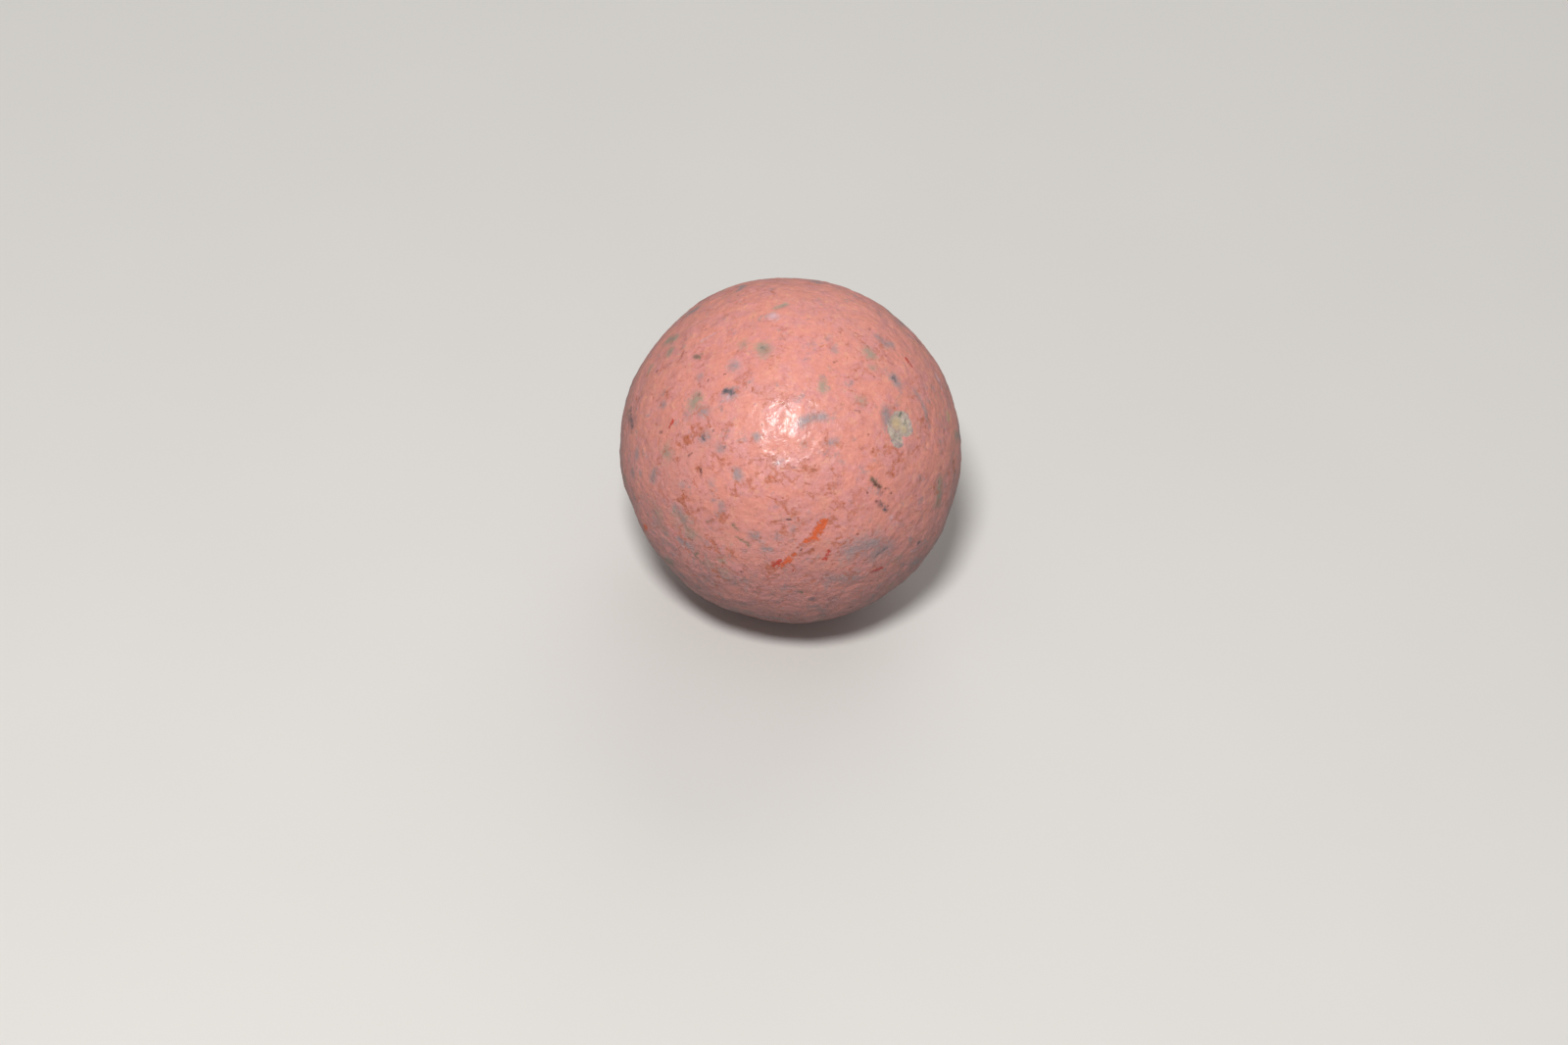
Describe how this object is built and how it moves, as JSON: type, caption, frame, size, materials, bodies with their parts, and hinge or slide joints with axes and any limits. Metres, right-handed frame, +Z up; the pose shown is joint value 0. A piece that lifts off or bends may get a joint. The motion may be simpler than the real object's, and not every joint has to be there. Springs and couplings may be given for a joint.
{
  "type": "clay marble",
  "caption": "Small hand-rolled ball of fired clay with worn pink paint, slightly out of round, with pressed flats, dimples and a scar of pale grit.",
  "frame": {"origin": "centre of the ball", "axes": "+Z up, -Y towards the side that shows the orange streaks, +X to the right of that side, where the scar of pale grit is"},
  "size_m": [0.0159, 0.016, 0.016],
  "materials": {
    "painted_clay": "satin"
  },
  "bodies": {
    "root": {"marble": "painted_clay"}
  },
  "joints": []
}
